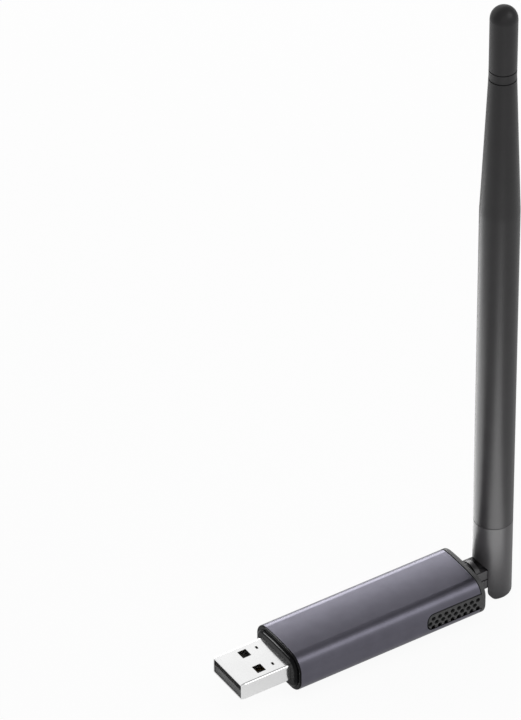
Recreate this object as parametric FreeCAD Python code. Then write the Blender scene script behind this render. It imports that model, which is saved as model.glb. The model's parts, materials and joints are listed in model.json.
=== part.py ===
"""A smart home radio stick: a metal-sleeved USB stick with a whip antenna on a swivel and tilt knuckle.

Part frame, in millimetres: +X runs from the USB plug to the antenna, +Z is up, and the origin is on the
flat underside, at the middle of the metal sleeve. The plug, the antenna connector and the knuckle share
one axis along X at mid height. The antenna is drawn standing up, its connector screwed home.
"""
import FreeCAD, Part

import math
import os

# Housing outline, seen along X: flat underside, rounded long edges, faintly domed top
body_width = 17.9
body_height = 10.25
body_corner = 3.9
crown_radius = 60.0
sleeve_length = 48.45
sleeve_wall = 0.8
fit_clearance = 0.05

# Front cap: a flange over the sleeve's end, then a raised boss round the plug
flange_thickness = 0.35
flange_round = 0.28
boss_inset = 0.95
boss_height = 0.72
boss_round = 0.66
front_spigot_depth = 4.0

# Rear cap: an end plate with a vented wing let into each side of the sleeve, and a well for the nut
cap_plate = 1.13
cap_round = 0.4
seam_width = 0.25
seam_depth = 0.4
rear_spigot_depth = 3.6
rear_spigot_wall = 0.9
wing_length = 14.65
wing_low = 3.1
wing_high = 7.5
wing_gap = 0.32
wing_corner = 1.7
well_depth = 6.4
well_clearance = 0.15
well_wall = 0.45
well_floor = 0.8
well_chamfer = 0.3

# Vent holes in each wing: rows one above the other, every second row set back by half a pitch
vent_diameter = 1.15
vent_pitch = 1.727
vent_row_pitch = 1.2
vent_rows = 3
vents_per_row = 8
vent_rear_margin = 0.87
vent_height = 4.95

# USB type A plug
plug_width = 12.0
plug_height = 4.5
plug_exposed = 12.8
plug_embedded = 6.0
plug_sheet = 0.3
plug_corner = 0.6
plug_nose_length = 0.9
plug_nose_inset = 0.18
window_length = 2.2
window_width = 2.5
window_spread = 3.02
window_setback = 6.4
slit_length = 0.95
slit_width = 0.55
slit_spread = 3.3
slit_setback = 9.85
tongue_thickness = 1.9
tongue_recess = 0.3
contact_width = 1.0
contact_thickness = 0.2
contact_proud = 0.05
contact_tail = 1.8
outer_contact_spread = 3.5
inner_contact_spread = 1.0
outer_contact_setback = 1.2
inner_contact_setback = 2.2

# Circuit board and what stands on it
board_thickness = 1.0
board_side_gap = 0.35
board_corner = 0.8
can_length = 11.0
can_width = 10.5
can_height = 2.2
can_sheet = 0.2
can_to_jack = 3.2
radio_chip_side = 5.0
radio_chip_height = 0.85
bridge_chip_side = 4.0
bridge_chip_height = 0.8
bridge_chip_setback = 7.0
crystal_length = 3.2
crystal_width = 2.5
crystal_height = 0.7
crystal_edge_gap = 2.25
regulator_length = 2.9
regulator_width = 1.6
regulator_height = 1.1
regulator_edge_gap = 2.0
capacitor_length = 1.6
capacitor_width = 0.8
capacitor_pitch = 1.9
capacitor_count = 4
capacitor_setback = 12.6
component_round = 0.15

# Coaxial jack in the stick: flange inside the well's floor, threaded barrel inside the well
jack_flange_side = 6.5
jack_flange_thickness = 1.6
jack_barrel_diameter = 6.3
jack_reach = 5.0
jack_bore_diameter = 4.7
jack_mating_depth = 1.9
dielectric_diameter = 4.1
jack_contact_diameter = 1.3
jack_tail_diameter = 0.8
jack_tail_length = 1.6
jack_pin_depth = 2.2

# Antenna connector: ferrule, centre pin, and the coupling nut held on it by a snap ring
mating_gap = 0.05
running_clearance = 0.05
ferrule_wall = 0.25
collar_gap = 0.1
collar_diameter = 5.8
collar_thickness = 0.6
ferrule_diameter = 5.0
centre_pin_diameter = 0.92
centre_pin_reach = 1.9
tail_diameter = 3.6
tail_length = 1.7
nut_diameter = 7.3
nut_proud = 1.3
nut_floor_gap = 0.4
nut_to_neck = 0.15
flute_count = 24
flute_radius = 0.28
flute_depth = 0.14
nut_edge = 0.2
ring_thickness = 0.4
ring_bite = 0.25
ring_gap_width = 1.2
ring_play = 0.03
nut_ring_setback = 0.9
tail_ring_setback = 0.8

# Knuckle: the neck turns on the ferrule's tail, and the fork tilts on the neck's two trunnions
neck_radius = 3.7
neck_thickness = 6.0
neck_shoulder = 1.15
tongue_height = 5.1
hinge_reach = 6.25
trunnion_diameter = 2.4
trunnion_length = 1.0
ear_slit = 2.8
ear_slit_reach = 4.5
parting_groove_width = 0.35
parting_groove_depth = 0.25

# Antenna: fork, whip cover and the wires inside
whip_diameter = 9.12
fork_drop = 6.125
fork_bottom_round = 0.7
fork_heel_round = 2.8
fork_gap = 0.15
fork_arch_clearance = 0.5
fork_back_clearance = 0.15
fork_top = 19.9
fork_rim = 0.2
fork_spigot_diameter = 6.8
fork_spigot_length = 5.2
shoulder_height = 106.5
shoulder_round = 30.0
tip_diameter = 6.22
tip_length = 17.8
antenna_height = 160.4
whip_wall = 1.4
ring_groove_drops = (16.2, 18.5)
ring_groove_width = 0.3
ring_groove_depth = 0.15
tip_thickness = 3.0
lead_diameter = 1.3
lead_clearance = 0.15
lead_top = 60.0
elbow_gap = 0.05
choke_diameter = 4.8
choke_wall = 0.25
choke_length = 26.0
rod_diameter = 1.0
rod_tip_gap = 12.4
spacer_heights = (66.0, 122.0)
spacer_thickness = 3.0

# Places worked out from the sizes above
axis_z = body_height / 2
sleeve_front = -sleeve_length / 2
sleeve_rear = sleeve_length / 2
flange_front = sleeve_front - flange_thickness
boss_face = flange_front - boss_height
plug_front = boss_face - plug_exposed
plug_rear = boss_face + plug_embedded
cap_end = sleeve_rear + seam_width + cap_plate
wing_front = sleeve_rear - wing_length
well_radius = nut_diameter / 2 + well_clearance
well_bottom = cap_end - well_depth
jack_face = well_bottom - well_floor
jack_front = jack_face - jack_flange_thickness
jack_end = well_bottom + jack_reach
jack_shoulder = jack_end - jack_mating_depth
collar_front = jack_end + collar_gap
collar_rear = collar_front + collar_thickness
nut_front = well_bottom + nut_floor_gap
nut_rear = cap_end + nut_proud
nut_web_front = collar_rear + mating_gap
neck_start = nut_rear + nut_to_neck
tail_end = neck_start + tail_length
hinge_x = neck_start + hinge_reach
fork_bottom = axis_z - fork_drop
slot_half = neck_thickness / 2 + fork_gap
board_top = axis_z - jack_tail_diameter / 2
board_bottom = board_top - board_thickness
board_front = plug_rear
board_rear = jack_front
board_half = body_width / 2 - sleeve_wall - board_side_gap
plug_floor = axis_z - plug_height / 2 + plug_sheet
plug_roof = axis_z + plug_height / 2 - plug_sheet
tongue_top = plug_floor + tongue_thickness
whip_radius = whip_diameter / 2
tip_radius = tip_diameter / 2
taper_top_height = antenna_height - tip_length
rod_top = antenna_height - rod_tip_gap
lead_radius = lead_diameter / 2
beyond = 5.0


def vec(x, y, z):
    """A point or a direction in the part frame."""
    return FreeCAD.Vector(x, y, z)


def edges_in_plane_x(solid, x):
    """The edges of a solid that lie in the plane at x."""
    flat = 1e-4
    return [e for e in solid.Edges if abs(e.BoundBox.XMin - x) < flat and abs(e.BoundBox.XMax - x) < flat]


def edges_in_plane_z(solid, z):
    """The edges of a solid that lie in the plane at z."""
    flat = 1e-4
    return [e for e in solid.Edges if abs(e.BoundBox.ZMin - z) < flat and abs(e.BoundBox.ZMax - z) < flat]


def box(x0, x1, y0, y1, z0, z1):
    """A block between two corners."""
    return Part.makeBox(x1 - x0, y1 - y0, z1 - z0, vec(x0, y0, z0))


def rod_x(radius, x0, x1):
    """A round bar on the connector's axis."""
    return Part.makeCylinder(radius, x1 - x0, vec(x0, 0, axis_z), vec(1, 0, 0))


def rod_y(radius, x, z, half):
    """A round bar across the part, centred on the plane y = 0."""
    return Part.makeCylinder(radius, 2 * half, vec(x, -half, z), vec(0, 1, 0))


def rod_z(radius, z0, z1):
    """A round bar on the antenna's axis."""
    return Part.makeCylinder(radius, z1 - z0, vec(hinge_x, 0, z0), vec(0, 0, 1))


def turned(profile):
    """A body turned about the connector's axis from a closed outline of (x, radius) points."""
    points = [vec(x, 0, axis_z + r) for x, r in profile]
    face = Part.Face(Part.makePolygon(points + points[:1]))
    return face.revolve(vec(0, 0, axis_z), vec(1, 0, 0), 360)


def fuse_all(solids):
    """One solid from several that touch, with the lines between flush faces removed."""
    whole = solids[0].multiFuse(solids[1:])
    return whole.removeSplitter().Solids[0]


def body_outline(x, inset):
    """The housing's closed outline in the plane x, drawn in by inset all round."""
    radius = body_corner - inset
    corner_y = body_width / 2 - body_corner
    crown_centre = body_height - crown_radius
    reach = crown_radius - body_corner
    corner_z = crown_centre + math.sqrt(reach ** 2 - corner_y ** 2)
    lean = math.atan2(corner_z - crown_centre, corner_y)

    def on_corner(angle, centre_z, sign):
        return vec(x, sign * (corner_y + radius * math.cos(angle)), centre_z + radius * math.sin(angle))

    def half(sign):
        low = [on_corner(a, body_corner, sign) for a in (-math.pi / 2, -math.pi / 4, 0)]
        high = [on_corner(a, corner_z, sign) for a in (0, lean / 2, lean)]
        edges = [Part.Arc(*low).toShape(), Part.LineSegment(low[2], high[0]).toShape()]
        return edges + [Part.Arc(*high).toShape()], low[0], high[2]

    right, right_foot, right_top = half(1)
    left, left_foot, left_top = half(-1)
    crown = Part.Arc(right_top, vec(x, 0, body_height - inset), left_top).toShape()
    floor = Part.LineSegment(left_foot, right_foot).toShape()
    return Part.Wire(Part.__sortEdges__(right + [crown] + left + [floor]))


def body_prism(inset, x0, x1):
    """A solid with the housing's outline, drawn in by inset, between two planes."""
    return Part.Face(body_outline(x0, inset)).extrude(vec(x1 - x0, 0, 0))


def plug_outline(x, inset):
    """The plug's rounded rectangle in the plane x, drawn in by inset."""
    half_y = plug_width / 2 - inset
    half_z = plug_height / 2 - inset
    radius = max(plug_corner - inset, plug_corner / 4)
    slope = radius * (1 - math.sqrt(0.5))
    edges = []
    corners = ((1, 1), (-1, 1), (-1, -1), (1, -1))
    ends = []
    for sy, sz in corners:
        tip_y = vec(x, sy * (half_y - radius), axis_z + sz * half_z)
        tip_z = vec(x, sy * half_y, axis_z + sz * (half_z - radius))
        bend = vec(x, sy * (half_y - slope), axis_z + sz * (half_z - slope))
        ends.append((tip_y, bend, tip_z) if sy * sz < 0 else (tip_z, bend, tip_y))
    for (start, bend, end), following in zip(ends, ends[1:] + ends[:1]):
        edges.append(Part.Arc(start, bend, end).toShape())
        edges.append(Part.LineSegment(end, following[0]).toShape())
    return Part.Wire(edges)


def plug_bar(inset, x0, x1, x1_inset=None):
    """A bar with the plug's section between two planes, tapering if the second inset differs."""
    if x1_inset is None:
        return Part.Face(plug_outline(x0, inset)).extrude(vec(x1 - x0, 0, 0))
    return Part.makeLoft([plug_outline(x0, inset), plug_outline(x1, x1_inset)], True, True)


def side_window(x0, z0, z1, radius):
    """A tool for the wings: open to the rear, with rounded front corners, right across the part."""
    x1 = sleeve_rear + beyond
    half = body_width
    blank = box(x0, x1, -half, half, z0, z1)
    corners = [e for e in blank.Edges if abs(e.BoundBox.XMax - x0) < 1e-4 and e.BoundBox.YLength > body_width]
    return blank.makeFillet(radius, corners)


def make_sleeve():
    """The extruded aluminium sleeve, notched on both sides for the rear cap's wings."""
    tube = body_prism(0, sleeve_front, sleeve_rear).cut(body_prism(sleeve_wall, sleeve_front, sleeve_rear))
    return tube.cut(side_window(wing_front, wing_low, wing_high, wing_corner))


def make_front_cap():
    """Flange, raised boss and spigot of the front cap, with the socket that the plug passes through."""
    flange = body_prism(0, flange_front, sleeve_front)
    flange = flange.makeFillet(flange_round, edges_in_plane_x(flange, flange_front))
    boss = body_prism(boss_inset, boss_face, flange_front)
    boss = boss.makeFillet(boss_round, edges_in_plane_x(boss, boss_face))
    spigot = body_prism(sleeve_wall + fit_clearance, sleeve_front, sleeve_front + front_spigot_depth)
    socket = plug_bar(-fit_clearance, boss_face - beyond, sleeve_front + front_spigot_depth + beyond)
    return fuse_all([flange, boss, spigot]).cut(socket)


def vent_positions():
    """The (x, z) centres of one wing's vents."""
    places = []
    for row in range(vent_rows):
        z = vent_height + (row - (vent_rows - 1) / 2) * vent_row_pitch
        last = sleeve_rear - vent_rear_margin
        if row % 2:
            last -= vent_pitch / 2
        for column in range(vents_per_row):
            places.append((last - column * vent_pitch, z))
    return places


def make_rear_cap():
    """End plate, spigot, the well for the nut and the two vented wings, moulded as one piece."""
    inner = sleeve_wall + fit_clearance
    plate = body_prism(0, sleeve_rear + seam_width, cap_end)
    plate = plate.makeFillet(cap_round, edges_in_plane_x(plate, cap_end))
    lip = body_prism(seam_depth, sleeve_rear, sleeve_rear + seam_width)
    spigot_front = sleeve_rear - rear_spigot_depth
    spigot = body_prism(inner, spigot_front, sleeve_rear)
    spigot = spigot.cut(body_prism(inner + rear_spigot_wall, spigot_front, sleeve_rear))
    wings = body_prism(0, wing_front, sleeve_rear + seam_width).cut(body_prism(inner, wing_front, cap_end))
    wings = wings.common(side_window(wing_front + wing_gap, wing_low + wing_gap,
                                     wing_high - wing_gap, wing_corner - wing_gap))
    well_tube = rod_x(well_radius + well_wall, jack_face, cap_end - cap_round)
    well_tube = well_tube.common(body_prism(inner, jack_face, cap_end))
    cap = fuse_all([plate, lip, spigot, well_tube] + wings.Solids)
    mouth = Part.makeCone(well_radius, well_radius + well_chamfer + beyond, well_chamfer + beyond,
                          vec(cap_end - well_chamfer, 0, axis_z), vec(1, 0, 0))
    cuts = [rod_x(well_radius, well_bottom, cap_end + beyond), mouth]
    cuts.append(rod_x(jack_barrel_diameter / 2 + fit_clearance, jack_face - beyond, well_bottom + beyond))
    for x, z in vent_positions():
        cuts.append(rod_y(vent_diameter / 2, x, z, body_width))
    return cap.cut(cuts)


def make_plug_shell():
    """The folded steel shell of the plug, with latch windows and dimple slots above and below."""
    nose = plug_front + plug_nose_length
    outside = [plug_bar(0, nose, plug_rear), plug_bar(0, nose, plug_front, plug_nose_inset)]
    inset = plug_sheet
    inside = [plug_bar(inset, nose, plug_rear), plug_bar(inset, nose, plug_front, inset + plug_nose_inset)]
    shell = fuse_all(outside).cut(fuse_all(inside))
    window = box(-window_length / 2, window_length / 2, -window_width / 2, window_width / 2,
                 axis_z - plug_height, axis_z + plug_height)
    slit = box(-slit_width / 2, slit_width / 2, -slit_length / 2, slit_length / 2,
               axis_z, axis_z + plug_height)
    cuts = []
    for side in (-1, 1):
        cuts.append(window.translated(vec(plug_front + window_setback, side * window_spread, 0)))
        cuts.append(slit.translated(vec(plug_front + slit_setback, side * slit_spread, 0)))
    return shell.cut(cuts)


def contact_rows():
    """The four contacts' places across the plug and how far each starts behind the tongue's front."""
    outer = [(side * outer_contact_spread, outer_contact_setback) for side in (-1, 1)]
    inner = [(side * inner_contact_spread, inner_contact_setback) for side in (-1, 1)]
    return sorted(outer + inner)


def make_plug_contact(y, setback):
    """One contact: a strip let into the tongue, cranked down at the back to lie on the board."""
    top = tongue_top + contact_proud
    under = top - contact_thickness
    front = plug_front + tongue_recess + setback
    crank = board_front + contact_thickness
    tail = board_front + contact_tail
    foot = board_top + contact_thickness
    outline = [(front, under), (board_front, under), (board_front, board_top), (tail, board_top),
               (tail, foot), (crank, foot), (crank, top), (front, top)]
    points = [vec(x, y - contact_width / 2, z) for x, z in outline]
    return Part.Face(Part.makePolygon(points + points[:1])).extrude(vec(0, contact_width, 0))


def make_plug_tongue(contacts):
    """The plug's insulating tongue, filling the lower part of the shell, grooved for the contacts."""
    block = plug_bar(plug_sheet, plug_front + tongue_recess, plug_rear)
    nose = plug_front + plug_nose_length
    room = fuse_all([plug_bar(plug_sheet, nose, plug_rear),
                     plug_bar(plug_sheet, nose, plug_front, plug_sheet + plug_nose_inset)])
    block = block.common(room)
    block = block.cut(box(plug_front, plug_rear, -plug_width, plug_width, tongue_top, plug_roof + beyond))
    return block.cut(contacts)


def make_circuit_board():
    """The board, from the plug's tongue to the jack's flange, with rounded corners."""
    board = box(board_front, board_rear, -board_half, board_half, board_bottom, board_top)
    upright = [e for e in board.Edges if e.BoundBox.ZLength > board_thickness / 2]
    return board.makeFillet(board_corner, upright)


def component(x, y, length, width, height):
    """A small part on the board with softened upright edges."""
    block = box(x - length / 2, x + length / 2, y - width / 2, y + width / 2, board_top, board_top + height)
    upright = [e for e in block.Edges if e.BoundBox.ZLength > height / 2]
    return block.makeFillet(component_round, upright)


def make_radio_shield(x):
    """The radio's shield: a drawn can, open below."""
    can = component(x, 0, can_length, can_width, can_height)
    inside = component(x, 0, can_length - 2 * can_sheet, can_width - 2 * can_sheet, can_height - can_sheet)
    return can.cut(inside)


def make_capacitors():
    """A row of chip capacitors beside the bridge chip."""
    x = plug_rear + capacitor_setback
    start = -(capacitor_count - 1) / 2 * capacitor_pitch
    row = [component(x, start + i * capacitor_pitch, capacitor_length, capacitor_width, capacitor_width)
           for i in range(capacitor_count)]
    return Part.makeCompound(row)


def make_jack_body():
    """The coaxial jack's metal body: square flange and barrel, stepped bore."""
    half = jack_flange_side / 2
    flange = box(jack_front, jack_face, -half, half, axis_z - half, axis_z + half)
    barrel = rod_x(jack_barrel_diameter / 2, jack_face, jack_end)
    body = fuse_all([flange, barrel])
    return body.cut([rod_x(jack_bore_diameter / 2, jack_shoulder, jack_end + beyond),
                     rod_x(dielectric_diameter / 2, jack_front - beyond, jack_end)])


def make_jack_insulator():
    """The dielectric bush that centres the jack's contact."""
    bush = rod_x(dielectric_diameter / 2, jack_front, jack_shoulder)
    return bush.cut(rod_x(jack_contact_diameter / 2, jack_front - beyond, jack_end))


def make_jack_contact():
    """The jack's centre contact: a socket for the pin, and a tail that lies on the board."""
    pin_bore = centre_pin_diameter / 2 + running_clearance
    tail_start = jack_front - jack_tail_length
    bore_end = jack_shoulder - jack_pin_depth
    return turned([(tail_start, 0), (tail_start, jack_tail_diameter / 2),
                   (jack_front, jack_tail_diameter / 2), (jack_front, jack_contact_diameter / 2),
                   (jack_shoulder, jack_contact_diameter / 2), (jack_shoulder, pin_bore),
                   (bore_end, pin_bore), (bore_end, 0)])


def make_ferrule():
    """The antenna connector's outer contact: tube, collar for the nut and the tail that the neck turns on."""
    tube_radius = jack_bore_diameter / 2 - running_clearance
    bore = tube_radius - ferrule_wall
    lead_bore = lead_radius + lead_clearance
    outer = ferrule_diameter / 2
    tail = tail_diameter / 2
    nut_groove = nut_rear - nut_ring_setback
    tail_groove = neck_start + tail_ring_setback
    groove = ring_thickness / 2
    profile = [(jack_shoulder + mating_gap, bore), (jack_shoulder + mating_gap, tube_radius),
               (collar_front, tube_radius), (collar_front, collar_diameter / 2),
               (collar_rear, collar_diameter / 2), (collar_rear, outer),
               (nut_groove - groove, outer), (nut_groove - groove, outer - ring_bite),
               (nut_groove + groove, outer - ring_bite), (nut_groove + groove, outer),
               (nut_rear, outer), (nut_rear, tail),
               (tail_groove - groove, tail), (tail_groove - groove, tail - ring_bite),
               (tail_groove + groove, tail - ring_bite), (tail_groove + groove, tail),
               (tail_end, tail), (tail_end, lead_bore), (collar_rear, lead_bore), (collar_rear, bore)]
    return turned(profile)


def make_ferrule_insulator():
    """The dielectric bush inside the ferrule's tube."""
    radius = jack_bore_diameter / 2 - running_clearance - ferrule_wall
    bush = rod_x(radius, jack_end, collar_rear)
    return bush.cut(rod_x(centre_pin_diameter / 2, jack_end - beyond, collar_rear + beyond))


def make_centre_pin():
    """The antenna connector's centre pin, pointed at its free end."""
    radius = centre_pin_diameter / 2
    tip = jack_shoulder - centre_pin_reach
    return turned([(tip, 0), (tip, radius / 2), (tip + radius, radius),
                   (collar_rear, radius), (collar_rear, 0)])


def snap_ring(x, shaft_radius):
    """A split wire ring, half in the shaft's groove and half in the outer piece's."""
    half = ring_thickness / 2 - ring_play
    inner = shaft_radius - ring_bite
    outer = shaft_radius + ring_bite
    ring = rod_x(outer, x - half, x + half).cut(rod_x(inner, x - beyond, x + beyond))
    split = box(x - half, x + half, -ring_gap_width / 2, ring_gap_width / 2, axis_z, axis_z + outer + beyond)
    return ring.cut(split)


def ring_room(x, shaft_radius):
    """The groove that a snap ring runs in, inside the piece that turns round it."""
    half = ring_thickness / 2
    return rod_x(shaft_radius + ring_bite + running_clearance, x - half, x + half)


def make_coupling_nut():
    """The fluted coupling nut: wide bore over the jack's barrel, a web behind the ferrule's collar."""
    radius = nut_diameter / 2
    length = nut_rear - nut_front
    blank = rod_x(radius, nut_front, nut_rear)
    rims = edges_in_plane_x(blank, nut_front) + edges_in_plane_x(blank, nut_rear)
    blank = blank.makeChamfer(nut_edge, rims)
    flutes = []
    for i in range(flute_count):
        angle = 2 * math.pi * i / flute_count
        reach = radius + flute_radius - flute_depth
        centre = vec(nut_front - beyond, reach * math.cos(angle), axis_z + reach * math.sin(angle))
        flutes.append(Part.makeCylinder(flute_radius, length + 2 * beyond, centre, vec(1, 0, 0)))
    bores = [rod_x(jack_barrel_diameter / 2 + running_clearance, nut_front - beyond, nut_web_front),
             rod_x(ferrule_diameter / 2 + running_clearance, nut_front, nut_rear + beyond),
             ring_room(nut_rear - nut_ring_setback, ferrule_diameter / 2)]
    return blank.cut(flutes).cut(bores)


def make_neck():
    """The knuckle's neck: flatted barrel, tongue with two springy ears, a trunnion on each ear."""
    half = neck_thickness / 2
    barrel = rod_x(neck_radius, neck_start, neck_start + neck_shoulder)
    barrel = barrel.common(box(neck_start, hinge_x, -half, half, axis_z - beyond, axis_z + beyond))
    rise = tongue_height / 2
    tongue = box(neck_start, hinge_x, -half, half, axis_z - rise, axis_z + rise)
    pivot = rod_y(rise, hinge_x, axis_z, half)
    trunnions = rod_y(trunnion_diameter / 2, hinge_x, axis_z, half + trunnion_length)
    neck = fuse_all([barrel, tongue, pivot, trunnions])
    cuts = [rod_x(tail_diameter / 2 + running_clearance, neck_start - beyond, tail_end + mating_gap),
            rod_x(lead_radius + lead_clearance, neck_start, hinge_x),
            ring_room(neck_start + tail_ring_setback, tail_diameter / 2),
            box(hinge_x - ear_slit_reach, hinge_x + beyond, -ear_slit / 2, ear_slit / 2,
                axis_z - beyond, axis_z + beyond)]
    for side in (-1, 1):
        depth = half - parting_groove_depth
        outside = sorted((side * depth, side * (half + parting_groove_depth)))
        cuts.append(box(neck_start - beyond, hinge_x - trunnion_diameter, outside[0], outside[1],
                        axis_z - parting_groove_width / 2, axis_z + parting_groove_width / 2))
    return neck.cut(cuts)


def make_fork():
    """The antenna's lower sleeve: two cheeks round the neck's tongue, with sockets for its trunnions."""
    fork = rod_z(whip_radius, fork_bottom, fork_top)
    fork = fork.makeFillet(fork_bottom_round, edges_in_plane_z(fork, fork_bottom))
    fork = fork.makeChamfer(fork_rim, edges_in_plane_z(fork, fork_top))
    heel_x = hinge_x - math.sqrt(whip_radius ** 2 - slot_half ** 2) + fork_heel_round
    heel_z = fork_bottom + fork_heel_round
    heel = box(hinge_x - whip_diameter, heel_x, -whip_diameter, whip_diameter, fork_bottom - beyond, heel_z)
    heel = heel.cut(rod_y(fork_heel_round, heel_x, heel_z, whip_diameter))
    arch = neck_radius + fork_arch_clearance
    back = max(neck_radius, math.hypot(neck_thickness / 2, tongue_height / 2)) + fork_back_clearance
    room = rod_x(arch, hinge_x - whip_diameter, hinge_x)
    open_quarter = box(hinge_x - whip_diameter, hinge_x, -whip_diameter, whip_diameter,
                       fork_bottom - beyond, axis_z)
    room = room.fuse([open_quarter, rod_z(back, fork_bottom - beyond, axis_z),
                      Part.makeSphere(back, vec(hinge_x, 0, axis_z))])
    slab = box(hinge_x - whip_diameter, hinge_x + whip_diameter, -slot_half, slot_half,
               fork_bottom - beyond, fork_top)
    sockets = rod_y(trunnion_diameter / 2 + running_clearance, hinge_x, axis_z,
                    neck_thickness / 2 + trunnion_length + running_clearance)
    spigot = rod_z(fork_spigot_diameter / 2, fork_top, fork_top + fork_spigot_length)
    passage = rod_z(lead_radius + lead_clearance, axis_z, fork_top + fork_spigot_length + beyond)
    return fork.cut([heel, room.common(slab), sockets]).fuse(spigot).removeSplitter().cut(passage).Solids[0]


def whip_side(inset):
    """The whip's outer line from the shoulder down, up the taper and over the tip, drawn in by inset."""
    low = whip_radius - inset
    high = tip_radius - inset
    taper = math.atan2(whip_radius - tip_radius, taper_top_height - shoulder_height)
    bend = shoulder_round * math.tan(taper / 2)
    x = hinge_x
    start = vec(x + low, 0, shoulder_height - bend)
    end = vec(x + low - bend * math.sin(taper), 0, shoulder_height + bend * math.cos(taper))
    sag = shoulder_round * (1 - math.cos(taper / 2))
    rise = shoulder_round * math.sin(taper / 2)
    middle = vec(x + low - sag, 0, shoulder_height - bend + rise)
    taper_top = vec(x + high, 0, taper_top_height)
    return low, high, start, middle, end, taper_top


def make_whip():
    """The antenna's cover: straight, then tapering to a slim round tip with two ring grooves below it."""
    low, high, start, middle, end, taper_top = whip_side(0)
    x = hinge_x
    foot = vec(x + low, 0, fork_top)
    dome_foot = vec(x + high, 0, antenna_height - high)
    dome_side = vec(x + high * math.sqrt(0.5), 0, antenna_height - high * (1 - math.sqrt(0.5)))
    crown = vec(x, 0, antenna_height)
    edges = [Part.LineSegment(foot, start), Part.Arc(start, middle, end), Part.LineSegment(end, taper_top),
             Part.LineSegment(taper_top, dome_foot), Part.Arc(dome_foot, dome_side, crown),
             Part.LineSegment(crown, vec(x, 0, fork_top)), Part.LineSegment(vec(x, 0, fork_top), foot)]
    face = Part.Face(Part.Wire([e.toShape() for e in edges]))
    whip = face.revolve(vec(x, 0, 0), vec(0, 0, 1), 360)
    low, high, start, middle, end, taper_top = whip_side(whip_wall)
    bore = [vec(x, 0, fork_top - beyond), vec(x + low, 0, fork_top - beyond), start, end, taper_top,
            vec(x + high, 0, antenna_height - tip_radius - tip_thickness),
            vec(x, 0, antenna_height - tip_radius - tip_thickness)]
    bore_face = Part.Face(Part.makePolygon(bore + bore[:1]))
    cuts = [bore_face.revolve(vec(x, 0, 0), vec(0, 0, 1), 360),
            rod_z(fork_spigot_diameter / 2 + fit_clearance, fork_top - beyond, fork_top + fork_spigot_length)]
    for drop in ring_groove_drops:
        height = antenna_height - drop
        outer = rod_z(whip_radius, height - ring_groove_width / 2, height + ring_groove_width / 2)
        cuts.append(outer.cut(rod_z(tip_radius - ring_groove_depth, height - beyond, height + beyond)))
    return whip.cut(cuts)


def bore_radius_at(height):
    """The whip's inner radius at a height."""
    share = (height - shoulder_height) / (taper_top_height - shoulder_height)
    share = min(max(share, 0), 1)
    return whip_radius - whip_wall - share * (whip_radius - tip_radius)


def make_neck_lead():
    """The aerial lead's half inside the neck, from the connector to the middle of the hinge."""
    elbow = Part.makeSphere(lead_radius, vec(hinge_x, 0, axis_z))
    return fuse_all([rod_x(lead_radius, collar_rear, hinge_x), elbow])


def make_antenna_lead():
    """The aerial lead's half inside the antenna, from the middle of the hinge up to the radiator."""
    return rod_z(lead_radius, axis_z + lead_radius + elbow_gap, lead_top)


def make_radiator_choke():
    """The brass sleeve round the lead, standing on the fork's spigot."""
    foot = fork_top + fork_spigot_length
    tube = rod_z(choke_diameter / 2, foot, foot + choke_length)
    bore = rod_z(choke_diameter / 2 - choke_wall, foot - beyond, foot + choke_length - choke_wall)
    return tube.cut([bore, rod_z(lead_radius, foot, foot + choke_length + beyond)])


def make_radiator_rod():
    """The radiating rod, soldered on the lead's core."""
    return rod_z(rod_diameter / 2, lead_top, rod_top)


def make_spacer(height):
    """A soft bush that centres the rod in the cover."""
    top = height + spacer_thickness
    bush = rod_z(bore_radius_at(top) - fit_clearance, height, top)
    return bush.cut(rod_z(rod_diameter / 2, height - beyond, top + beyond))


def board_parts():
    """The small parts soldered to the board, by name."""
    radio_x = jack_front - can_to_jack - can_length / 2
    bridge_x = plug_rear + bridge_chip_setback
    crystal_y = board_half - crystal_edge_gap - crystal_width / 2
    regulator_y = board_half - regulator_edge_gap - regulator_width / 2
    return {
        "radio_shield": make_radio_shield(radio_x),
        "radio_chip": component(radio_x, 0, radio_chip_side, radio_chip_side, radio_chip_height),
        "bridge_chip": component(bridge_x, 0, bridge_chip_side, bridge_chip_side, bridge_chip_height),
        "crystal": component(bridge_x, crystal_y, crystal_length, crystal_width, crystal_height),
        "regulator": component(bridge_x, -regulator_y, regulator_length, regulator_width, regulator_height),
        "capacitors": make_capacitors(),
    }


def stick_parts():
    """The pieces of the stick itself, by name."""
    contacts = [make_plug_contact(y, setback) for y, setback in contact_rows()]
    parts = {
        "sleeve": make_sleeve(),
        "front_cap": make_front_cap(),
        "rear_cap": make_rear_cap(),
        "plug_shell": make_plug_shell(),
        "plug_tongue": make_plug_tongue(contacts),
        "circuit_board": make_circuit_board(),
        "jack_body": make_jack_body(),
        "jack_insulator": make_jack_insulator(),
        "jack_contact": make_jack_contact(),
    }
    for number, contact in enumerate(contacts, start=1):
        parts["plug_contact_%d" % number] = contact
    parts.update(board_parts())
    return parts


def antenna_parts():
    """The pieces from the coupling nut to the antenna's tip, by name."""
    parts = {
        "ferrule": make_ferrule(),
        "ferrule_insulator": make_ferrule_insulator(),
        "centre_pin": make_centre_pin(),
        "nut_snap_ring": snap_ring(nut_rear - nut_ring_setback, ferrule_diameter / 2),
        "neck_snap_ring": snap_ring(neck_start + tail_ring_setback, tail_diameter / 2),
        "coupling_nut": make_coupling_nut(),
        "neck": make_neck(),
        "neck_lead": make_neck_lead(),
        "fork": make_fork(),
        "whip": make_whip(),
        "antenna_lead": make_antenna_lead(),
        "radiator_choke": make_radiator_choke(),
        "radiator_rod": make_radiator_rod(),
    }
    for number, height in enumerate(spacer_heights, start=1):
        parts["rod_spacer_%d" % number] = make_spacer(height)
    return parts


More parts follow.
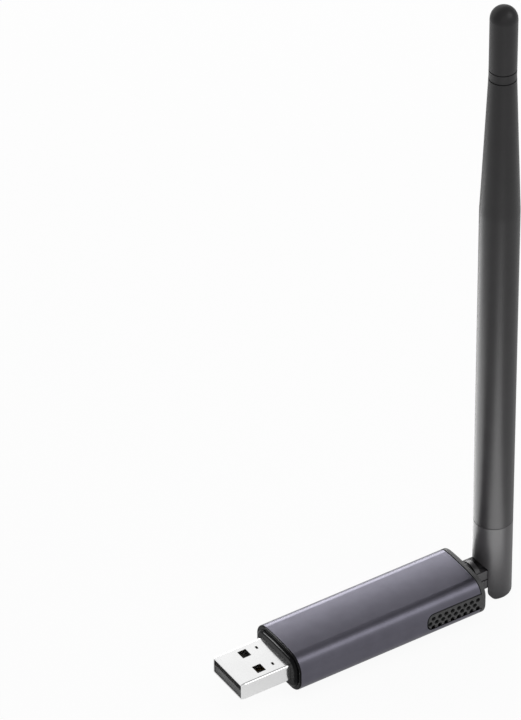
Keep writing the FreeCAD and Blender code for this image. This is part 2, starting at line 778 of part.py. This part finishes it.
def main():
    """Build every piece and write one file for each."""
    os.makedirs("parts", exist_ok=True)
    parts = stick_parts()
    parts.update(antenna_parts())
    for name, shape in parts.items():
        shape.exportStep("parts/%s.step" % name)
        print("%-20s %9.3f mm3  valid %s" % (name, shape.Volume, shape.isValid()))


main()
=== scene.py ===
"""Looks for the smart home radio stick: materials, studio and camera round the fixed frame."""
import json
import math

import bpy
from mathutils import Matrix, Vector


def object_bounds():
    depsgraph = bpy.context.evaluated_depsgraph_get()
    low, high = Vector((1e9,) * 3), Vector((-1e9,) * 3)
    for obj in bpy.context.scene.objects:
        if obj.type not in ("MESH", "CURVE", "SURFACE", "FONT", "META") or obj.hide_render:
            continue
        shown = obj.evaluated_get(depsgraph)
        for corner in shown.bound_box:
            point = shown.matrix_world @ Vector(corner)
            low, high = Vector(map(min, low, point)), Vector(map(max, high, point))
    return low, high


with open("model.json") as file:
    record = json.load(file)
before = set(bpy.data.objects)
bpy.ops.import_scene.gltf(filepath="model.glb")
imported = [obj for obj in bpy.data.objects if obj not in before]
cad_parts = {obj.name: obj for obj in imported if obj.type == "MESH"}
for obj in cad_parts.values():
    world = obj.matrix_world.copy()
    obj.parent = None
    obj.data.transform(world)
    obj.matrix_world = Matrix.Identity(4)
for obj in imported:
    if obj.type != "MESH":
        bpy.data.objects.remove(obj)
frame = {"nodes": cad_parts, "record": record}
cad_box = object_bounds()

MM = 0.001

# The camera, as fitted to the photograph's edges; its target is a point on the view's middle line
CAMERA_AZIMUTH = -32.712
CAMERA_ELEVATION = 37.919
CAMERA_ROLL = -0.273
CAMERA_DISTANCE = 1551.8 * MM
CAMERA_TARGET = Vector((0.370, 45.661, 49.036)) * MM
CAMERA_LENS = 343.74
CAMERA_SENSOR = 36.0
CAMERA_NEAR = 0.01
CAMERA_FAR = 50.0

# The floor, and the share of pure white in it where the camera sees it and where the part mirrors it
FLOOR_SIZE = 6.0
FLOOR_LEVEL = 0.90
FLOOR_ROUGHNESS = 0.9
FLOOR_WHITE_SEEN = 0.94
FLOOR_WHITE_MIRRORED = 0.4

# How light the air is in what glossy faces mirror, by how far the direction points along +Y
WORLD_STOPS = ((-1.0, 0.7), (-0.62, 0.9), (-0.45, 0.55), (-0.2, 0.48), (0.3, 0.48), (0.5, 0.38),
               (0.58, 0.45), (0.66, 1.15), (1.0, 0.8))
# How much light the air gives to matt faces
WORLD_DIFFUSE = 0.3

# What a lamp points at, unless it says otherwise
LAMP_TARGET = (0.01, 0, 0.005)
# Two strips lie on the floor and face up, so each one's distance is also the height of its target. They are
# half a degree off the upright, because their turn on the floor follows from their azimuth.
STRIP_ELEVATION = -89.5
STRIP_DISTANCE = 0.1

# The part of a noise texture's range that a finish is spread over
NOISE_START = 0.3
NOISE_END = 0.7
# How many grains of a finish lie across one of its slow clouds
GRAINS_PER_CLOUD = 30

# Each slot's finish: the colours and the roughnesses that it runs between, how many grains it has in a metre,
# and how deep they are
FINISHES = {
    "sleeve_metal": dict(colours=((0.124, 0.120, 0.148), (0.138, 0.134, 0.165)), roughness=(0.29, 0.37),
                         grain=9000, depth=0.004 * MM, metallic=1.0),
    "gloss_black": dict(colours=((0.0035, 0.0035, 0.004), (0.005, 0.005, 0.0055)), roughness=(0.07, 0.12),
                        grain=3000, depth=0.0005 * MM, gloss=0.1),
    "cap_plastic": dict(colours=((0.072, 0.072, 0.0725), (0.085, 0.085, 0.0855)), roughness=(0.45, 0.58),
                        grain=7000, depth=0.010 * MM, gloss=0.4),
    "plug_steel": dict(colours=((0.90, 0.90, 0.90), (0.94, 0.94, 0.94)), roughness=(0.10, 0.18),
                       grain=4000, depth=0.0006 * MM, metallic=1.0),
    "tongue_plastic": dict(colours=((0.12, 0.12, 0.12), (0.14, 0.14, 0.14)), roughness=(0.4, 0.5),
                           grain=6000, depth=0.004 * MM),
    "contact_gold": dict(colours=((0.80, 0.56, 0.22), (0.85, 0.62, 0.27)), roughness=(0.15, 0.28),
                         grain=5000, depth=0.001 * MM, metallic=1.0),
    "board_laminate": dict(colours=((0.01, 0.07, 0.035), (0.015, 0.09, 0.045)), roughness=(0.3, 0.42),
                           grain=4000, depth=0.004 * MM),
    "chip_black": dict(colours=((0.015, 0.015, 0.016), (0.02, 0.02, 0.021)), roughness=(0.5, 0.62),
                       grain=8000, depth=0.006 * MM),
    "can_steel": dict(colours=((0.62, 0.61, 0.59), (0.68, 0.67, 0.65)), roughness=(0.25, 0.4),
                      grain=5000, depth=0.002 * MM, metallic=1.0),
    "jack_brass": dict(colours=((0.82, 0.60, 0.26), (0.86, 0.65, 0.30)), roughness=(0.18, 0.3),
                       grain=5000, depth=0.002 * MM, metallic=1.0),
    "dielectric": dict(colours=((0.80, 0.79, 0.76), (0.84, 0.83, 0.80)), roughness=(0.45, 0.55),
                       grain=4000, depth=0.003 * MM),
    "nut_metal": dict(colours=((0.02, 0.02, 0.022), (0.03, 0.03, 0.033)), roughness=(0.28, 0.4),
                      grain=6000, depth=0.004 * MM, metallic=1.0),
    "spring_steel": dict(colours=((0.5, 0.49, 0.47), (0.56, 0.55, 0.53)), roughness=(0.25, 0.35),
                         grain=5000, depth=0.002 * MM, metallic=1.0),
    "knuckle_plastic": dict(colours=((0.038, 0.0366, 0.0389), (0.046, 0.0443, 0.0470)),
                            roughness=(0.34, 0.44), grain=7000, depth=0.006 * MM),
    "whip_plastic": dict(colours=((0.018, 0.0170, 0.0183), (0.0225, 0.0213, 0.0228)), roughness=(0.34, 0.45),
                         grain=6000, depth=0.006 * MM, gloss=0.4),
    "lead_jacket": dict(colours=((0.22, 0.07, 0.03), (0.26, 0.09, 0.04)), roughness=(0.35, 0.45),
                        grain=4000, depth=0.002 * MM),
    "radiator_brass": dict(colours=((0.76, 0.53, 0.22), (0.82, 0.6, 0.27)), roughness=(0.25, 0.4),
                           grain=5000, depth=0.002 * MM, metallic=1.0),
    "spacer_foam": dict(colours=((0.72, 0.72, 0.69), (0.8, 0.8, 0.77)), roughness=(0.8, 0.95),
                        grain=2500, depth=0.08 * MM),
}


def direction(azimuth, elevation):
    """Unit vector from the target towards a camera or lamp at these angles, in degrees."""
    a = math.radians(azimuth)
    e = math.radians(elevation)
    return Vector((math.sin(a) * math.cos(e), -math.cos(a) * math.cos(e), math.sin(e)))


def grey(level):
    """An opaque colour with this level in each channel."""
    return (level, level, level, 1)


def add_camera():
    """A long lens at the photograph's viewing angle."""
    data = bpy.data.cameras.new("camera")
    data.sensor_fit = "VERTICAL"
    data.sensor_height = CAMERA_SENSOR
    data.lens = CAMERA_LENS
    data.clip_start = CAMERA_NEAR
    data.clip_end = CAMERA_FAR
    camera = bpy.data.objects.new("camera", data)
    bpy.context.scene.collection.objects.link(camera)
    back = direction(CAMERA_AZIMUTH, CAMERA_ELEVATION)
    turned = math.radians(CAMERA_AZIMUTH)
    level = Vector((math.cos(turned), math.sin(turned), 0))
    rise = back.cross(level)
    roll = math.radians(CAMERA_ROLL)
    right = math.cos(roll) * level + math.sin(roll) * rise
    up = math.cos(roll) * rise - math.sin(roll) * level
    turn = Matrix((right, up, back)).transposed().to_4x4()
    camera.matrix_world = Matrix.Translation(CAMERA_TARGET + CAMERA_DISTANCE * back) @ turn
    bpy.context.scene.camera = camera


class Tree:
    """The node tree of a material or world, with short forms for the nodes that this scene uses."""

    def __init__(self, owner):
        owner.use_nodes = True
        self.nodes = owner.node_tree.nodes
        self.links = owner.node_tree.links

    def feed(self, node, socket, value):
        """Give an input of a node a plain value, or link it to the output that stands as the value."""
        if isinstance(value, bpy.types.NodeSocket):
            self.links.new(value, node.inputs[socket])
        else:
            node.inputs[socket].default_value = value

    def add(self, kind, **settings):
        """A new node; a setting names a property, or else an input, with underscores for spaces."""
        node = self.nodes.new(kind)
        for key, value in settings.items():
            if hasattr(node, key):
                setattr(node, key, value)
            else:
                self.feed(node, key.replace("_", " "), value)
        return node

    def calculate(self, operation, *values):
        """The result of one arithmetic operation."""
        node = self.add("ShaderNodeMath", operation=operation)
        for place, value in enumerate(values):
            self.feed(node, place, value)
        return node.outputs["Value"]

    def spread(self, value, start, end, low, high):
        """A value that goes from low to high as the given one goes from start to end."""
        node = self.add("ShaderNodeMapRange", Value=value, From_Min=start, From_Max=end,
                        To_Min=low, To_Max=high)
        return node.outputs["Result"]

    def mix(self, factor, low, high):
        """A colour between two, by a factor from 0 to 1."""
        return self.add("ShaderNodeMix", data_type="RGBA", Factor=factor, A=low, B=high).outputs["Result"]

    def noise(self, scale, detail, roughness):
        """A noise texture that stays with the object, at this scale in cycles per metre."""
        place = self.add("ShaderNodeTexCoord").outputs["Object"]
        node = self.add("ShaderNodeTexNoise", Vector=place, Scale=scale, Detail=detail, Roughness=roughness)
        return node.outputs["Fac"]


def make_finish(name, colours, roughness, grain, depth, metallic=0.0, gloss=0.5):
    """A material whose colour follows a slow cloud, and whose roughness and bump follow a fine grain."""
    material = bpy.data.materials.new(name)
    tree = Tree(material)
    surface = tree.nodes["Principled BSDF"]
    dark, light = colours
    cloud = tree.noise(grain / GRAINS_PER_CLOUD, detail=3.0, roughness=0.5)
    fine = tree.noise(grain, detail=4.0, roughness=0.6)
    tint = tree.mix(tree.spread(cloud, NOISE_START, NOISE_END, 0.0, 1.0), (*dark, 1), (*light, 1))
    tree.feed(surface, "Base Color", tint)
    tree.feed(surface, "Roughness", tree.spread(fine, NOISE_START, NOISE_END, *roughness))
    bump = tree.add("ShaderNodeBump", Strength=1.0, Distance=depth, Height=fine)
    tree.feed(surface, "Normal", bump.outputs["Normal"])
    tree.feed(surface, "Metallic", metallic)
    tree.feed(surface, "Specular IOR Level", gloss)
    return material


def dress():
    """Give every CAD node the finish that the record names for it."""
    materials = {slot: make_finish(slot, **values) for slot, values in FINISHES.items()}
    for row in frame["record"]["subparts"]:
        node = frame["nodes"][row["node"]]
        node.data.materials.clear()
        node.data.materials.append(materials[row["material_slot"]])


def make_floor_paint():
    """Pale matt paint, with more pure white in it for the camera than for what the part mirrors."""
    material = bpy.data.materials.new("floor")
    tree = Tree(material)
    paint = tree.nodes["Principled BSDF"]
    tree.feed(paint, "Base Color", grey(FLOOR_LEVEL))
    tree.feed(paint, "Roughness", FLOOR_ROUGHNESS)
    paths = tree.add("ShaderNodeLightPath").outputs
    seen = tree.calculate("MULTIPLY", paths["Is Camera Ray"], FLOOR_WHITE_SEEN)
    share = tree.calculate("MULTIPLY_ADD", paths["Is Glossy Ray"], FLOOR_WHITE_MIRRORED, seen)
    white = tree.add("ShaderNodeEmission", Color=grey(1), Strength=1.0)
    blend = tree.add("ShaderNodeMixShader", Fac=share)
    tree.feed(blend, 1, paint.outputs["BSDF"])
    tree.feed(blend, 2, white.outputs["Emission"])
    tree.feed(tree.nodes["Material Output"], "Surface", blend.outputs["Shader"])
    return material


def add_floor():
    """A wide floor at the part's lowest point."""
    level = min(corner[2] for corner in cad_box)
    bpy.ops.mesh.primitive_plane_add(size=FLOOR_SIZE, location=(0, 0, level))
    floor = bpy.context.object
    floor.name = "floor"
    floor.data.materials.append(make_floor_paint())


def add_world():
    """Studio air: white where the camera sees it, graded along Y in what glossy faces mirror."""
    world = bpy.data.worlds.new("studio")
    bpy.context.scene.world = world
    tree = Tree(world)
    paths = tree.add("ShaderNodeLightPath").outputs
    towards = tree.add("ShaderNodeTexCoord").outputs["Generated"]
    along_y = tree.add("ShaderNodeSeparateXYZ", Vector=towards).outputs["Y"]
    graded = tree.add("ShaderNodeValToRGB", Fac=tree.spread(along_y, -1.0, 1.0, 0.0, 1.0))
    stops = graded.color_ramp.elements
    for place, level in WORLD_STOPS[1:-1]:
        stops.new((place + 1) / 2).color = grey(level)
    stops[0].color = grey(WORLD_STOPS[0][1])
    stops[-1].color = grey(WORLD_STOPS[-1][1])
    given = tree.mix(paths["Is Glossy Ray"], grey(WORLD_DIFFUSE), graded.outputs["Color"])
    tree.feed(tree.nodes["Background"], "Color", tree.mix(paths["Is Camera Ray"], given, grey(1)))


def add_lamp(name, azimuth, elevation, distance, width, height, radiance, target=LAMP_TARGET,
             mirrored=True, only=(), spared=()):
    """A soft rectangular lamp that points at the target, of this radiance where white is 1.

    mirrored says whether glossy faces show it. It lights everything, or only the nodes named in only, or
    everything but the nodes named in spared.
    """
    data = bpy.data.lights.new(name, "AREA")
    data.shape = "RECTANGLE"
    data.size = width
    data.size_y = height
    data.energy = radiance * math.pi * width * height
    lamp = bpy.data.objects.new(name, data)
    lamp.visible_camera = False
    lamp.visible_glossy = mirrored
    bpy.context.scene.collection.objects.link(lamp)
    aim = direction(azimuth, elevation)
    lamp.location = Vector(target) + distance * aim
    lamp.rotation_euler = aim.to_track_quat("Z", "Y").to_euler()
    if only or spared:
        named = bpy.data.collections.new(name)
        for node in only or spared:
            named.objects.link(frame["nodes"][node])
        for member in named.collection_objects:
            member.light_linking.link_state = "INCLUDE" if only else "EXCLUDE"
        lamp.light_linking.receiver_collection = named


def add_strip(name, azimuth, width, height, radiance, x, y):
    """A lamp that lies on the floor at this point, faces up and lights only the antenna."""
    add_lamp(name, azimuth, STRIP_ELEVATION, STRIP_DISTANCE, width, height, radiance,
             target=(x, y, STRIP_DISTANCE), only=("neck", "fork", "whip"))


def add_lights():
    """The studio's lamps."""
    add_lamp("rear_softbox", azimuth=150, elevation=17, distance=0.6, width=0.5, height=0.2, radiance=5.0,
             spared=("whip",))
    add_lamp("overhead", azimuth=40, elevation=50, distance=0.7, width=0.35, height=0.25, radiance=1.8)
    add_lamp("top_fill", azimuth=0, elevation=85, distance=0.35, width=0.25, height=0.25, radiance=1.7,
             mirrored=False, spared=("whip",))
    add_lamp("boss_rim", azimuth=-138, elevation=25, distance=0.5, width=0.12, height=0.2, radiance=22.0,
             target=(-0.025, 0, 0.008), only=("front_cap",))
    add_strip("antenna_front", azimuth=-21, width=0.042, height=0.09, radiance=3.8, x=0.0115, y=-0.0570)
    add_strip("antenna_rim", azimuth=0, width=0.09, height=0.13, radiance=2.8, x=-0.005, y=0.081)


add_camera()
add_floor()
add_world()
add_lights()
dress()

bpy.context.scene.view_settings.view_transform = "Standard"
